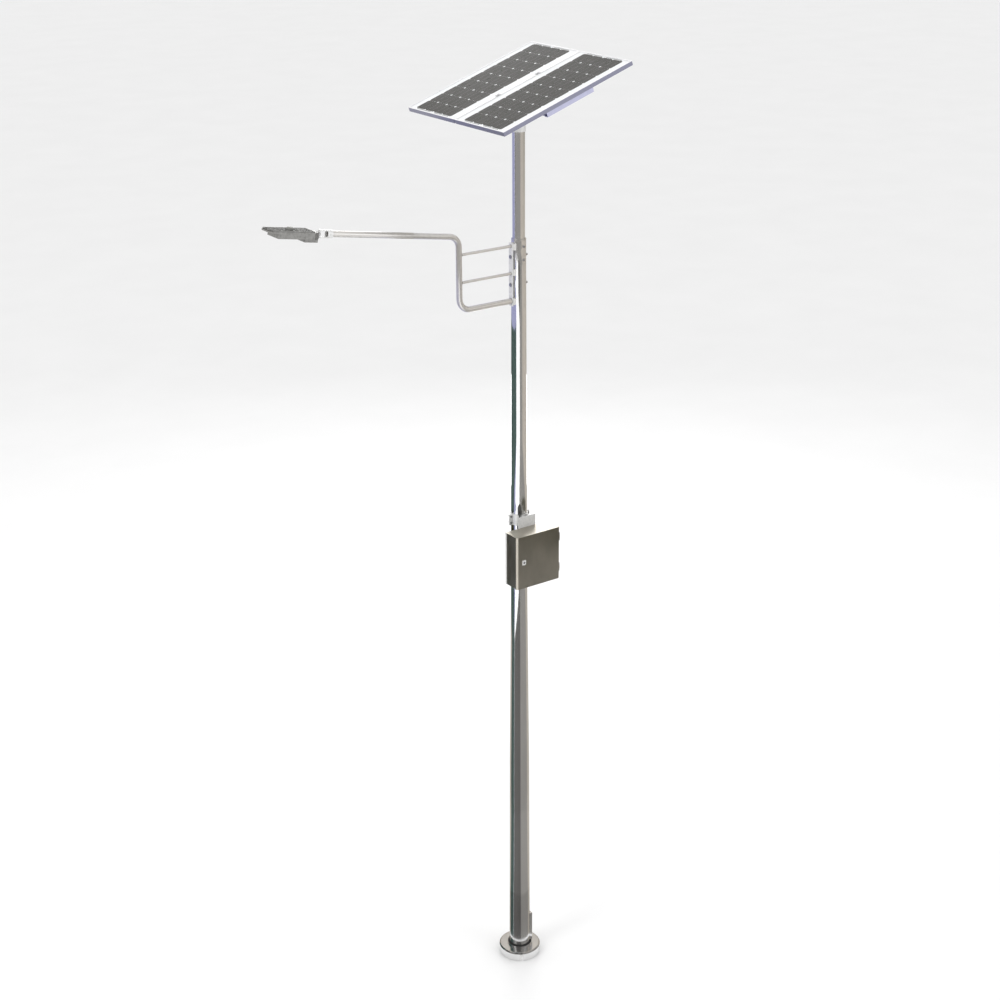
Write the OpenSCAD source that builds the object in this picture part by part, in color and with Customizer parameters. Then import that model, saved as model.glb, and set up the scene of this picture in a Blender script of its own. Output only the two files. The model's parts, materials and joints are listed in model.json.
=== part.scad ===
// Solar street lamp: conical steel pole, side arm with an LED head,
// battery box with a hinged door, and two solar modules on a tilting head.
// Origin at the centre of the base flange's lower face; the arm points to -X,
// the battery box door faces -Y and the hand-hole door faces +X.

/* [Pole] */
// Outer radius of the pole at its foot
pole_foot_r = 95; // [92:0.5:96]
// Outer radius of the pole at its top
pole_top_r = 59.5; // [59:0.5:62]
// Height of the pole's top above the flange's lower face
pole_top_z = 6851; // [6845:1:6900]
// Wall thickness of the pole
pole_wall = 4; // [3:0.5:4]

/* [Base] */
// Radius of the base flange
flange_r = 170; // [166:1:174]
// Thickness of the base flange
flange_t = 22; // [16:1:24]
// Diameter of the circle the anchor bolts stand on
anchor_pcd = 280; // [272:2:286]
// Radius of the anchor bolt holes
anchor_hole_r = 12; // [9:0.5:13]
// Outer radius of the base cover
cover_r = 191; // [186:1:200]
// Height of the base cover's shoulder
cover_h = 85; // [80:1:90]

/* [Battery box] */
// Width of the box door
box_w = 450; // [440:5:470]
// Height of the box door
box_h = 477; // [470:1:490]
// Height of the door's lower edge above the ground
box_z = 3908; // [3850:1:3950]
// Distance from the pole's axis to the box's back
box_back = 114; // [112:1:118]
// Depth of the box body behind the door
box_d = 148; // [148:1:152]

/* [Arm] */
// Outer radius of the arm tube
arm_r = 24.15; // [22:0.05:25]
// Height of the arm's bottom run
arm_run_z = 6349; // [6345:1:6355]
// Distance from the pole's axis to the arm's upright
arm_reach = 577.5; // [560:0.5:600]
// Bend radius of the arm tube's centre line
arm_bend_r = 100; // [90:5:110]
// Rise of the outer arm above level
arm_rise = 9.36; // [8:0.02:11]
// Length of the outer arm's straight part
arm_length = 1092; // [1050:1:1150]
// Radius of the two rungs
rung_r = 12; // [10:0.5:14]

/* [LED head] */
// Length of the head in front of its pivot
head_l = 436; // [420:1:450]
// Width of the head
head_w = 168; // [164:2:176]
// Thickness of the head's thin front part
head_t = 50; // [46:1:54]

/* [Solar array] */
// Tilt of the array at rest
array_tilt = 19; // [15:1:25]
// Width of one module
module_w = 650; // [640:5:660]
// Length of one module, along the slope
module_l = 1265; // [1240:5:1280]
// Depth of the module frame
module_h = 35; // [35:1:38]
// Gap between the two modules
module_gap = 17; // [12:1:20]
// Outer radius of the upper post
post_r = 50.8; // [50:0.1:51]
// Height of the tilt pivot
pivot_z = 7941; // [7900:1:7990]

/* [Hidden] */
$fn = 64;

// Running clearance, and the gap kept between bodies that pass each other
run = 0.05;
gap = 0.4;

steel = [0.78, 0.79, 0.80];
dark_steel = [0.45, 0.46, 0.48];
olive = [0.40, 0.39, 0.36];
black = [0.10, 0.10, 0.11];
white = [0.93, 0.93, 0.95];
blue_black = [0.10, 0.11, 0.16];

// Pole profile: a nearly straight foot, a reducing stretch, a slim top
pole_foot_z = 2050;
pole_foot_top_r = 87;
pole_mid_z = 3650;
pole_mid_r = 71.5;

// Radius of the pole's surface at height z, above the reducing stretch
function pole_r(z) = pole_mid_r - (pole_mid_r - pole_top_r) * (z - pole_mid_z) / (pole_top_z - pole_mid_z);

module pole_profile(inset) {
    polygon([
        [0, flange_t], [pole_foot_r - inset, flange_t],
        [pole_foot_top_r - inset, pole_foot_z], [pole_mid_r - inset, pole_mid_z],
        [pole_top_r - inset, pole_top_z], [0, pole_top_z]
    ]);
}

module pole_solid(inset = 0) {
    rotate_extrude() pole_profile(inset);
}

// Cylinder with its axis along X, from x0 to x1
module rod_x(r, x0, x1) {
    translate([x0, 0, 0]) rotate([0, 90, 0]) cylinder(h = x1 - x0, r = r);
}

// Cylinder with its axis along Y, from y0 to y1
module rod_y(r, y0, y1) {
    translate([0, y0, 0]) rotate([-90, 0, 0]) cylinder(h = y1 - y0, r = r);
}

// Box given by its lowest and highest corner
module block(low, high) {
    translate(low) cube(high - low);
}

// Hexagonal prism along X, across flats af
module hex_x(af, x0, x1) {
    translate([x0, 0, 0]) rotate([0, 90, 0]) cylinder(h = x1 - x0, r = af / sqrt(3), $fn = 6);
}

// Hexagonal prism along Y
module hex_y(af, y0, y1) {
    translate([0, y0, 0]) rotate([-90, 0, 0]) cylinder(h = y1 - y0, r = af / sqrt(3), $fn = 6);
}

// ---- Base ----
gusset_h = 48;
conduit_r = 55;
cover_wall = 2;
neck_r = 112;
neck_z = 100;
shoulder_r = 15;
seam_angle = -120;

module base_flange() {
    color(steel) difference() {
        cylinder(h = flange_t, r = flange_r, $fn = 96);
        translate([0, 0, -1]) cylinder(h = flange_t + 2, r = conduit_r);
        for (a = [45:90:315])
            rotate([0, 0, a]) translate([anchor_pcd / 2, 0, -1])
                cylinder(h = flange_t + 2, r = anchor_hole_r);
    }
}

module base_gussets() {
    color(steel) difference() {
        for (a = [0:90:270])
            rotate([0, 0, a]) rotate([90, 0, 0]) translate([0, 0, -4]) linear_extrude(8)
                polygon([
                    [pole_foot_r - 3, flange_t], [flange_r - 8, flange_t], [flange_r - 8, flange_t + 10],
                    [pole_foot_r + 12, flange_t + gusset_h], [pole_foot_r - 3, flange_t + gusset_h]
                ]);
        pole_solid();
    }
}

module pole_shell(z0, z1) {
    rotate_extrude($fn = 96) intersection() {
        difference() {
            pole_profile(0);
            translate([0, -1]) pole_profile(pole_wall);
            translate([0, pole_top_z - 5]) square([pole_top_r - pole_wall, 10]);
            translate([0, flange_t - 5]) square([pole_foot_r - pole_wall, 10]);
        }
        translate([0, z0]) square([200, z1 - z0]);
    }
}

// Foot length with the hand hole, butt welded to the tapered shaft
foot_joint_z = 470;
module pole_foot() {
    color(steel) difference() {
        pole_shell(flange_t, foot_joint_z);
        block([60, -hole_w / 2, hole_z0], [110, hole_w / 2, hole_z1]);
    }
}

module pole_tube() {
    color(steel) difference() {
        pole_shell(foot_joint_z, pole_top_z);
        for (z = arm_bolt_zs) translate([0, 0, z]) rod_x(arm_bolt_r + gap, -90, 90);
        for (z = set_bolt_zs, a = set_bolt_as)
            rotate([0, 0, a]) translate([0, 0, z]) rod_x(set_bolt_r + gap, 40, 80);
        rotate([0, 0, cowl_a]) translate([0, 0, cowl_z]) rod_x(9, 40, 90);
    }
}

module cover_section() {
    difference() {
        union() {
            square([cover_r - shoulder_r, cover_h]);
            square([cover_r, cover_h - shoulder_r]);
            translate([cover_r - shoulder_r, cover_h - shoulder_r]) circle(r = shoulder_r);
            square([neck_r, neck_z]);
        }
        translate([0, -1]) square([cover_r - shoulder_r, cover_h - cover_wall + 1]);
        translate([0, -1]) square([cover_r - cover_wall, cover_h - shoulder_r + 1]);
        translate([cover_r - shoulder_r, cover_h - shoulder_r]) circle(r = shoulder_r - cover_wall);
        square([neck_r - cover_wall, neck_z + 1]);
    }
}

module cover_half(turn) {
    rotate([0, 0, seam_angle + turn + 0.1]) rotate_extrude(angle = 179.8, $fn = 96)
        translate([0, 0]) cover_section();
}

module base_cover_left() {
    color(steel) cover_half(180);
}

module base_cover_right() {
    color(steel) cover_half(0);
}

strap_a = 4.8;
module base_cover_straps() {
    color(dark_steel) for (a = [seam_angle, seam_angle + 180]) rotate([0, 0, a]) {
        rotate([0, 0, -strap_a]) rotate_extrude(angle = 2 * strap_a, $fn = 96)
            translate([cover_r, 6]) square([2.5, cover_h - shoulder_r - 8]);
        for (z = [22, 56], s = [-1, 1]) rotate([0, 0, s * strap_a * 0.6]) translate([0, 0, z])
            rod_x(5, cover_r + 2.5, cover_r + 5.5, $fn = 24);
    }
}

module base_seal() {
    color(black) difference() {
        translate([0, 0, neck_z - 12]) cylinder(h = 12, r = neck_r - cover_wall);
        pole_solid();
    }
}

// ---- Hand hole ----
frame_w = 120;
frame_x = 100;
frame_z0 = 105;
frame_z1 = 400;
hole_w = 84;
hole_z0 = 123;
hole_z1 = 382;
lip_t = 5;
rim_w = 8;
hinge_x = 103;
hinge_y = frame_w / 2 + 5;
knuckle_r = 4.5;
pin_r = 2;
knuckle_zs = [150, 330];
knuckle_l = 14;

module handhole_frame() {
    color(steel) difference() {
        block([60, -frame_w / 2, frame_z0], [frame_x - lip_t, frame_w / 2, frame_z1]);
        block([50, rim_w - frame_w / 2, frame_z0 + rim_w], [frame_x, frame_w / 2 - rim_w, frame_z1 - rim_w]);
        pole_solid();
    }
}

module handhole_lip() {
    color(steel) difference() {
        block([frame_x - lip_t, -frame_w / 2, frame_z0], [frame_x, frame_w / 2, frame_z1]);
        block([50, -hole_w / 2, hole_z0], [frame_x + 1, hole_w / 2, hole_z1]);
    }
}

module handhole_hinge() {
    color(steel) for (z = knuckle_zs) {
        for (k = [0, 2]) difference() {
            union() {
                block([80, frame_w / 2, z + k * (knuckle_l + gap)],
                      [hinge_x, frame_w / 2 + 2, z + k * (knuckle_l + gap) + knuckle_l]);
                translate([hinge_x, hinge_y, z + k * (knuckle_l + gap)])
                    cylinder(h = knuckle_l, r = knuckle_r);
            }
            translate([hinge_x, hinge_y, z - 1]) cylinder(h = 4 * knuckle_l, r = pin_r);
        }
        translate([hinge_x, hinge_y, z - 1]) cylinder(h = 3 * knuckle_l + 2 * gap + 2, r = pin_r);
    }
}

door_x0 = frame_x + 0.5;
door_t = 3;
hand_lock_y = -32;
hand_lock_z = 252;
hand_lock_r = 8;
module handhole_door() {
    color(steel) difference() {
        union() {
            block([door_x0, 3 - frame_w / 2, frame_z0 + 3],
                  [door_x0 + door_t, frame_w / 2 - 3, frame_z1 - 3]);
            for (z = knuckle_zs) {
                block([door_x0 + door_t, 30, z + knuckle_l + gap],
                      [door_x0 + door_t + 2, hinge_y, z + 2 * knuckle_l + gap]);
                translate([hinge_x, hinge_y, z + knuckle_l + gap]) cylinder(h = knuckle_l, r = knuckle_r);
            }
        }
        for (z = knuckle_zs) translate([hinge_x, hinge_y, z]) cylinder(h = 3 * knuckle_l, r = pin_r + run);
        translate([0, hand_lock_y, hand_lock_z]) rod_x(hand_lock_r + run, 90, 120);
    }
}

module handhole_lock() {
    color(dark_steel) translate([0, hand_lock_y, hand_lock_z]) {
        difference() {
            union() {
                rod_x(hand_lock_r, 88, door_x0 + door_t + gap + 1);
                rod_x(hand_lock_r + 3, door_x0 + door_t + gap, door_x0 + door_t + gap + 3);
            }
            translate([door_x0 + door_t + 1, 0, 0]) rotate([0, 90, 0]) cylinder(h = 6, r = 5, $fn = 3);
        }
        block([88, -4, -18], [91, 4, 0]);
    }
}

module fuse_board() {
    color(olive) intersection() {
        block([38, -90, 170], [41, 90, 340]);
        cylinder(h = 1000, r = 89.5);
    }
    color(black) for (k = [-1, 0, 1]) {
        block([41, k * 26 - 10, 260], [66, k * 26 + 10, 320]);
        block([41, k * 26 - 9, 190], [58, k * 26 + 9, 225]);
    }
}

// ---- Pole top ----
cap_t = 8;
post_z0 = 6640;
post_top_z = pivot_z - 76;
set_bolt_zs = [6690, 6800];
set_bolt_as = [-83, 7];
set_bolt_r = 6;

module pole_cap() {
    color(steel) difference() {
        union() {
            translate([0, 0, pole_top_z]) cylinder(h = cap_t, r = pole_top_r);
            translate([0, 0, post_z0 + 90])
                cylinder(h = pole_top_z - post_z0 - 90, r = pole_top_r - pole_wall - 0.3);
        }
        translate([0, 0, post_z0]) cylinder(h = 400, r = post_r);
        for (z = set_bolt_zs, a = set_bolt_as)
            rotate([0, 0, a]) translate([0, 0, z]) rod_x(set_bolt_r, 40, 80);
    }
}

module upper_post() {
    color(steel) difference() {
        translate([0, 0, post_z0]) cylinder(h = post_top_z - post_z0, r = post_r);
        translate([0, 0, post_z0 - 1]) cylinder(h = post_top_z - post_z0 + 2, r = post_r - pole_wall);
        for (z = arm_bolt_zs) translate([0, 0, z]) rod_x(arm_bolt_r + gap, -90, 90);
    }
}

module post_set_bolts() {
    color(dark_steel) for (z = set_bolt_zs, a = set_bolt_as) rotate([0, 0, a]) translate([0, 0, z]) {
        rod_x(set_bolt_r, post_r, 62);
        hex_x(17, 62, 69);
    }
}

// ---- Side arm ----
plate_x = -80;
plate_t = 8;
plate_w = 50;
plate_z0 = 6310;
plate_z1 = 6830;
rung_zs = [6578, 6804];
saddle_zs = [6349, 6590, 6800];
saddle_h = 50;
arm_bolt_zs = [6485, 6716];
arm_bolt_r = 8;
arm_wall = 3;
upright_z0 = arm_run_z + arm_bend_r;
top_turn = 90 - arm_rise;
arm_start_z = 6966;
upright_z1 = arm_start_z - arm_bend_r * sin(top_turn);

module arm_plate() {
    color(steel) difference() {
        union() {
            block([plate_x, -plate_w / 2, plate_z0], [plate_x + plate_t, plate_w / 2, plate_z1]);
            for (z = saddle_zs)
                block([plate_x + plate_t, -35, z - saddle_h / 2], [-30, 35, z + saddle_h / 2]);
        }
        pole_solid();
        for (z = arm_bolt_zs) translate([0, 0, z]) rod_x(arm_bolt_r, -100, 0);
    }
}

module arm_bolts() {
    color(dark_steel) for (z = arm_bolt_zs) translate([0, 0, z]) {
        rod_x(arm_bolt_r, plate_x - 8, 84);
        hex_x(24, plate_x - 8, plate_x);
        difference() {
            hex_x(24, 58, 74);
            translate([0, 0, -z]) pole_solid();
        }
    }
}

module pole_bolts() {
    post_set_bolts();
    arm_bolts();
}

// Hollow straight tube along +Z
module straight(l) {
    difference() {
        cylinder(h = l, r = arm_r);
        translate([0, 0, -1]) cylinder(h = l + 2, r = arm_r - arm_wall);
    }
}

// Hollow bend around the Z axis, from +X through the given angle
module bend(turn) {
    rotate_extrude(angle = turn, $fn = 96) translate([arm_bend_r, 0]) difference() {
        circle(r = arm_r);
        circle(r = arm_r - arm_wall);
    }
}

// Moves its children to the outer arm, s along it from the top bend, with -X outwards
module arm_frame(s) {
    translate([-arm_reach - arm_bend_r, 0, upright_z1]) rotate([0, arm_rise, 0])
        translate([-s, 0, arm_bend_r]) children();
}

module arm_tube() {
    color(steel) {
        translate([plate_x, 0, arm_run_z]) rotate([0, -90, 0]) straight(arm_reach - arm_bend_r + plate_x);
        translate([-arm_reach + arm_bend_r, 0, upright_z0]) rotate([90, 0, 0]) rotate([0, 0, 180]) bend(90);
        translate([-arm_reach, 0, upright_z0]) straight(upright_z1 - upright_z0);
        translate([-arm_reach - arm_bend_r, 0, upright_z1]) rotate([90, 0, 0]) bend(top_turn);
        arm_frame(0) rotate([0, -90, 0]) straight(arm_length);
    }
}

module arm_rungs() {
    color(steel) difference() {
        for (z = rung_zs) translate([0, 0, z]) rod_x(rung_r, -arm_reach, plate_x);
        translate([-arm_reach, 0, upright_z0]) cylinder(h = upright_z1 - upright_z0, r = arm_r);
    }
}

// ---- Yoke that grips the arm's end and carries the head's pivot ----
yoke_r = 31;
yoke_l = 42;
yoke_grip = 26;
pivot_s = arm_length + 96;
bar_t = 9;
bar_w = 30;
eye_r = 13;
pivot_pin_r = 5;
eye_half = 12;

module yoke_bars() {
    for (s = [-1, 1]) translate([-pivot_s + eye_half, -bar_w / 2, s * (yoke_r - bar_t / 2) - bar_t / 2])
        cube([pivot_s - arm_length - eye_half + 4, bar_w, bar_t]);
}

module spigot_yoke() {
    color(steel) arm_frame(0) difference() {
        union() {
            rod_x(yoke_r, -arm_length - yoke_l + yoke_grip, -arm_length + yoke_grip);
            yoke_bars();
            block([-pivot_s + 10, -eye_half, -yoke_r], [-pivot_s + 26, eye_half, yoke_r]);
            translate([-pivot_s, 0, 0]) rod_y(eye_r, -eye_half, eye_half);
            block([-pivot_s, -eye_half, -6], [-pivot_s + 12, eye_half, 6]);
            for (s = [-1, 1]) translate([-arm_length + 5, s * yoke_r, 0]) rod_y(6, -5, 5);
        }
        rod_x(arm_r, -arm_length - yoke_l - 30, -arm_length + yoke_grip + 1);
        translate([-pivot_s, 0, 0]) rod_y(pivot_pin_r, -30, 30);
        translate([-arm_length - yoke_l + yoke_grip - 1, 0, 0]) rotate([0, -90, 0])
            cylinder(h = 30, r = arm_r - 1);
    }
}

// ---- LED head: local frame at the pivot, -X outwards, +Z up ----
module head_frame() {
    arm_frame(pivot_s) children();
}

tray_wall = 2.5;
head_z0 = -31;
head_z1 = head_z0 + head_t;
nose_r = 34;
nose_l = 66;
nose_t = 11;
gear_l = 130;
gear_w = 112;
gear_z0 = -58;
tray_x1 = -18;
lug_in = eye_half + gap;
lug_out = 22;

// Plan outline of the head's thin front part, shrunk by inset
module head_outline(inset) {
    x0 = -head_l + inset;
    x1 = tray_x1 - inset;
    w = head_w / 2 - inset;
    r = nose_r - inset;
    union() {
        translate([x0 + r, -w]) square([x1 - x0 - r - 46, 2 * w]);
        translate([x0, -w + r]) square([r + 1, 2 * (w - r)]);
        for (s = [-1, 1]) translate([x0 + r, s * (w - r)]) circle(r = r);
        polygon([[x1 - 46.5, -w], [x1, -gear_w / 2 + inset], [x1, gear_w / 2 - inset], [x1 - 46.5, w]]);
    }
}

module head_housing() {
    color(steel) head_frame() difference() {
        union() {
            difference() {
                translate([0, 0, head_z0]) linear_extrude(head_t) head_outline(0);
                block([-head_l - 1, -head_w, head_z0 - 1], [nose_l - head_l, head_w, head_z1 - nose_t]);
            }
            for (s = [-1, 1]) {
                translate([0, s * (lug_in + lug_out) / 2, 0])
                    rod_y(eye_r + 2, -(lug_out - lug_in) / 2, (lug_out - lug_in) / 2);
                block([tray_x1 - 1, s > 0 ? lug_in : -lug_out, -9], [0, s > 0 ? lug_out : -lug_in, 9]);
            }
        }
        translate([0, 0, head_z0 - 1]) linear_extrude(head_t - 3) intersection() {
            head_outline(tray_wall);
            translate([nose_l - head_l + tray_wall, -head_w]) square([head_l, 2 * head_w]);
        }
        rod_y(pivot_pin_r, -40, 40);
    }
    color(steel) head_frame()
        block([-gear_l - 8, -gear_w / 2 - 12, head_z0], [-gear_l - 6, gear_w / 2 + 12, head_z1 - 4]);
}

fin_n = 17;
fin_h = 8;
module head_fins() {
    color(steel) head_frame() intersection() {
        for (k = [0 : fin_n - 1])
            translate([-head_l, -head_w / 2 + 8 + k * (head_w - 16) / (fin_n - 1) - 1, head_z1])
                cube([head_l, 2, fin_h]);
        translate([0, 0, head_z1]) linear_extrude(fin_h) difference() {
            head_outline(5);
            translate([-cell_x, 0]) circle(r = cell_r + 2);
            translate([-60, -100]) square([60, 200]);
        }
    }
}

board_x0 = nose_l - head_l + 12;
board_x1 = -gear_l - 18;
board_w = head_w - 26;
board_z = head_z0 + 14;
module led_board() {
    color(white) head_frame() {
        block([board_x0, -board_w / 2, board_z], [board_x1, board_w / 2, board_z + 1.8]);
        for (x = [board_x0 + 30, board_x1 - 30], y = [-40, 40])
            translate([x, y, board_z + 1]) cylinder(h = head_z1 - 5.2 - board_z, r = 6);
    }
}

lens_cols = 6;
lens_rows = 4;
module led_lenses() {
    color(white) head_frame() for (i = [0 : lens_cols - 1], j = [0 : lens_rows - 1])
        translate([
            board_x0 + 22 + i * (board_x1 - board_x0 - 44) / (lens_cols - 1),
            -board_w / 2 + 20 + j * (board_w - 40) / (lens_rows - 1),
            board_z - 6.5
        ]) cylinder(h = 6.5, r1 = 7, r2 = 10);
}

module head_glass() {
    color([0.8, 0.9, 0.95, 0.4]) head_frame()
        block([board_x0 - 4, -board_w / 2 - 4, head_z0 + 0.5], [board_x1 + 4, board_w / 2 + 4, head_z0 + 4]);
}

module head_gasket() {
    color(black) head_frame() difference() {
        block([board_x0 - 4, -board_w / 2 - 4, head_z0 + 4], [board_x1 + 4, board_w / 2 + 4, head_z1 - 4.2]);
        block([board_x0, -board_w / 2, head_z0], [board_x1, board_w / 2, head_z1]);
    }
}

module led_driver() {
    color(dark_steel) head_frame() block([-gear_l + 6, -38, gear_z0 + 8], [tray_x1 - 14, 38, head_z1 - 4.2]);
}

cell_x = 233;
cell_r = 26;
module photocell() {
    color(dark_steel) head_frame() translate([-cell_x, 0, head_z1]) {
        cylinder(h = 10, r = cell_r - 3);
        translate([0, 0, 10]) cylinder(h = 12, r = cell_r);
        translate([0, 0, 22]) cylinder(h = 5, r1 = cell_r, r2 = cell_r - 6);
    }
}

module head_pivot_pin() {
    color(dark_steel) head_frame() {
        rod_y(pivot_pin_r - run, -lug_out - 6, lug_out + 6);
        for (s = [-1, 1]) translate([0, s * (lug_out + 3), 0]) hex_y(17, -3, 3);
    }
}

// Gear cover under the head's rear, hinged at its front edge
cover_z1 = head_z0 - gap;
gear_hinge_x = -gear_l - 2;
gear_hinge_z = cover_z1 - 5;
module gear_cover() {
    color(steel) head_frame() difference() {
        union() {
            block([-gear_l, -gear_w / 2 + 2, gear_z0], [tray_x1 - 2, gear_w / 2 - 2, cover_z1]);
            translate([gear_hinge_x, 0, gear_hinge_z]) rod_y(4, -30, 30);
        }
        for (s = [-1, 1]) block([-gear_l - 1, s > 0 ? 31 : -39, gear_hinge_z - 6],
                                [-gear_l + 6, s > 0 ? 39 : -31, cover_z1 + 1]);
        block([-gear_l + 3, -gear_w / 2 + 5, gear_z0 + 3], [tray_x1 - 5, gear_w / 2 - 5, cover_z1 + 1]);
        translate([gear_hinge_x, 0, gear_hinge_z]) rod_y(2 + run, -31, 31);
    }
}

module gear_latch() {
    color(black) head_frame() {
        translate([gear_hinge_x, 0, gear_hinge_z]) {
            rod_y(2, -40, 40);
            for (s = [-1, 1])
                block([-4, s > 0 ? 32 : -38, -3], [4, s > 0 ? 38 : -32, head_z0 - gear_hinge_z]);
        }
    }
}

// ---- Battery box ----
box_top = box_z + box_h;
box_half = box_w / 2;
body_half = box_half - 3;
body_z0 = box_z + 3;
body_z1 = box_top - 3;
body_front = -box_back - box_d;
door_y1 = body_front - 1.5;
door_y0 = body_front - 23;
sheet = 2;
lip_half = body_half - 17;
lip_y = body_front - 15;
lock_x = -151;
lock_z = box_z + box_h / 2;
lock_r = 9;
box_hinge_x = box_half + 7;
box_hinge_y = body_front;
box_knuckle_r = 5.5;
box_pin_r = 3;
box_hinge_zs = [box_z + 60, box_top - 135];
box_knuckle_l = 25;
lead_r = 4.5;
lead_z = 4310;
cowl_a = -122;
cowl_z = 4530;
lead_arm_r = 84;
lead_x = lead_arm_r * cos(cowl_a);
lead_y = lead_arm_r * sin(cowl_a);
lead_bend = 25;

module box_body() {
    color(olive) difference() {
        union() {
            difference() {
                block([-body_half, body_front, body_z0], [body_half, -box_back, body_z1]);
                block([sheet - body_half, body_front + sheet, body_z0 + sheet],
                      [body_half - sheet, -box_back - sheet, body_z1 - sheet]);
                block([-lip_half, body_front - 1, body_z0 + 17], [lip_half, body_front + 3, body_z1 - 17]);
            }
            difference() {
                block([-lip_half - sheet, lip_y, body_z0 + 15], [lip_half + sheet, body_front, body_z1 - 15]);
                block([-lip_half, lip_y - 1, body_z0 + 17], [lip_half, body_front + 3, body_z1 - 17]);
            }
        }
        translate([lead_x, 0, lead_z]) rod_y(8, -140, -100);
        for (x = gland_xs) translate([x, gland_y, body_z0 - 1]) cylinder(h = 5, r = 10);
        for (x = clamp_screw_xs, z = clamp_screw_zs) translate([x, 0, z]) rod_y(4, -140, -100);
    }
}

module box_hinge_pins() {
    color(dark_steel) for (z = box_hinge_zs) {
        for (k = [0, 2]) difference() {
            union() {
                block([body_half, body_front + 4, z + k * (box_knuckle_l + gap)],
                      [box_hinge_x, body_front + 8, z + k * (box_knuckle_l + gap) + box_knuckle_l]);
                block([body_half, body_front + 4, z + k * (box_knuckle_l + gap)],
                      [body_half + 2, body_front + 34, z + k * (box_knuckle_l + gap) + box_knuckle_l]);
                translate([box_hinge_x, box_hinge_y, z + k * (box_knuckle_l + gap)])
                    cylinder(h = box_knuckle_l, r = box_knuckle_r);
            }
            translate([box_hinge_x, box_hinge_y, z - 1]) cylinder(h = 4 * box_knuckle_l, r = box_pin_r);
        }
        translate([box_hinge_x, box_hinge_y, z]) cylinder(h = 3 * box_knuckle_l + 2 * gap, r = box_pin_r);
    }
}

door_chamfer = 14;
// Door pan's outline seen from above, inset by t and open at y1
module door_outline(t, y1) {
    h = box_half - t;
    polygon([
        [-h, y1], [-h, door_y0 + door_chamfer], [door_chamfer - h, door_y0 + t],
        [h - door_chamfer, door_y0 + t], [h, door_y0 + door_chamfer], [h, y1]
    ]);
}

module box_door() {
    color(olive) difference() {
        union() {
            difference() {
                translate([0, 0, box_z]) linear_extrude(box_h) door_outline(0, door_y1);
                translate([0, 0, box_z + sheet]) linear_extrude(box_h - 2 * sheet)
                    door_outline(sheet, door_y1 + 1);
            }
            for (z = box_hinge_zs) {
                block([box_half - 1, box_hinge_y - 10, z + box_knuckle_l + gap],
                      [box_hinge_x, box_hinge_y - 3, z + 2 * box_knuckle_l + gap]);
                translate([box_hinge_x, box_hinge_y, z + box_knuckle_l + gap])
                    cylinder(h = box_knuckle_l, r = box_knuckle_r);
            }
        }
        for (z = box_hinge_zs) translate([box_hinge_x, box_hinge_y, z])
            cylinder(h = 3 * box_knuckle_l, r = box_pin_r + run);
        translate([lock_x, 0, lock_z]) rod_y(lock_r + run, -320, -240);
    }
}

module box_door_gasket() {
    color(black) difference() {
        block([-lip_half - 4, door_y0 + sheet, body_z0 + 10], [lip_half + 4, lip_y - gap, body_z1 - 10]);
        block([7 - lip_half, -300, body_z0 + 24], [lip_half - 7, -200, body_z1 - 24]);
    }
}

module lock_escutcheon() {
    color(steel) difference() {
        block([lock_x - 18, door_y0 - 3, lock_z - 22], [lock_x + 18, door_y0, lock_z + 22]);
        translate([lock_x, 0, lock_z]) rod_y(lock_r + run, -320, -240);
    }
}

module lock_barrel() {
    color(dark_steel) translate([lock_x, 0, lock_z]) {
        difference() {
            rod_y(lock_r, door_y0 - 7, body_front + 8);
            block([-1.5, door_y0 - 8, -5], [1.5, door_y0 - 4, 5]);
        }
        block([-9, body_front + 4, -62], [9, body_front + 8, 9]);
    }
}

module equipment_plate() {
    color(steel) {
        difference() {
            block([-190, -box_back - 10, body_z0 + 24], [190, -box_back - 8, body_z1 - 60]);
            translate([lead_x, 0, lead_z]) rod_y(8, -140, -100);
        }
        for (x = [-175, 175], z = [body_z0 + 40, body_z1 - 80])
            translate([x, 0, z]) rod_y(7, -box_back - 8, -box_back - 2);
    }
}

tray_z = body_z0 + 8;
pack_h = 190;
module battery_tray() {
    color(steel) {
        block([-160, -box_back - 136, tray_z], [160, -box_back - 12, tray_z + 3]);
        block([-160, -box_back - 139, tray_z], [160, -box_back - 136, tray_z + 18]);
        for (x = [-150, 140]) block([x, -box_back - 130, body_z0 + sheet], [x + 10, -box_back - 20, tray_z]);
    }
}

module battery_pack() {
    color([0.16, 0.25, 0.42])
        block([-148, -box_back - 134, tray_z + 3], [148, -box_back - 16, tray_z + pack_h]);
    color(black) for (x = [-100, 100])
        translate([x, -box_back - 75, tray_z + pack_h]) cylinder(h = 10, r = 9);
}

module battery_strap() {
    color(black) difference() {
        block([-15, -box_back - 136, tray_z + 18.5], [15, -box_back - 10, tray_z + pack_h + 2]);
        block([-16, -box_back - 134, tray_z + 10], [16, -box_back - 9, tray_z + pack_h]);
    }
}

module charge_controller() {
    color([0.2, 0.22, 0.24]) {
        block([-60, -box_back - 46, 4170], [90, -box_back - 10, 4290]);
        for (k = [0 : 8]) block([-52 + k * 16, -box_back - 54, 4180], [-48 + k * 16, -box_back - 46, 4280]);
    }
}

module terminal_rail() {
    color(dark_steel) block([-150, -box_back - 14, 4200], [-80, -box_back - 10, 4235]);
    color([0.75, 0.74, 0.70]) for (k = [0 : 6])
        block([-148 + k * 9.6, -box_back - 52, 4190], [-139.5 + k * 9.6, -box_back - 14, 4245]);
}

gland_xs = [-60, 0, 60];
gland_y = -box_back - 60;
module cable_glands() {
    color(black) for (x = gland_xs) translate([x, gland_y, body_z0]) {
        translate([0, 0, -5]) cylinder(h = 5, r = 13, $fn = 6);
        translate([0, 0, -16]) cylinder(h = 11, r1 = 8, r2 = 10.5);
        cylinder(h = 8, r = 9.8);
    }
}

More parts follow.
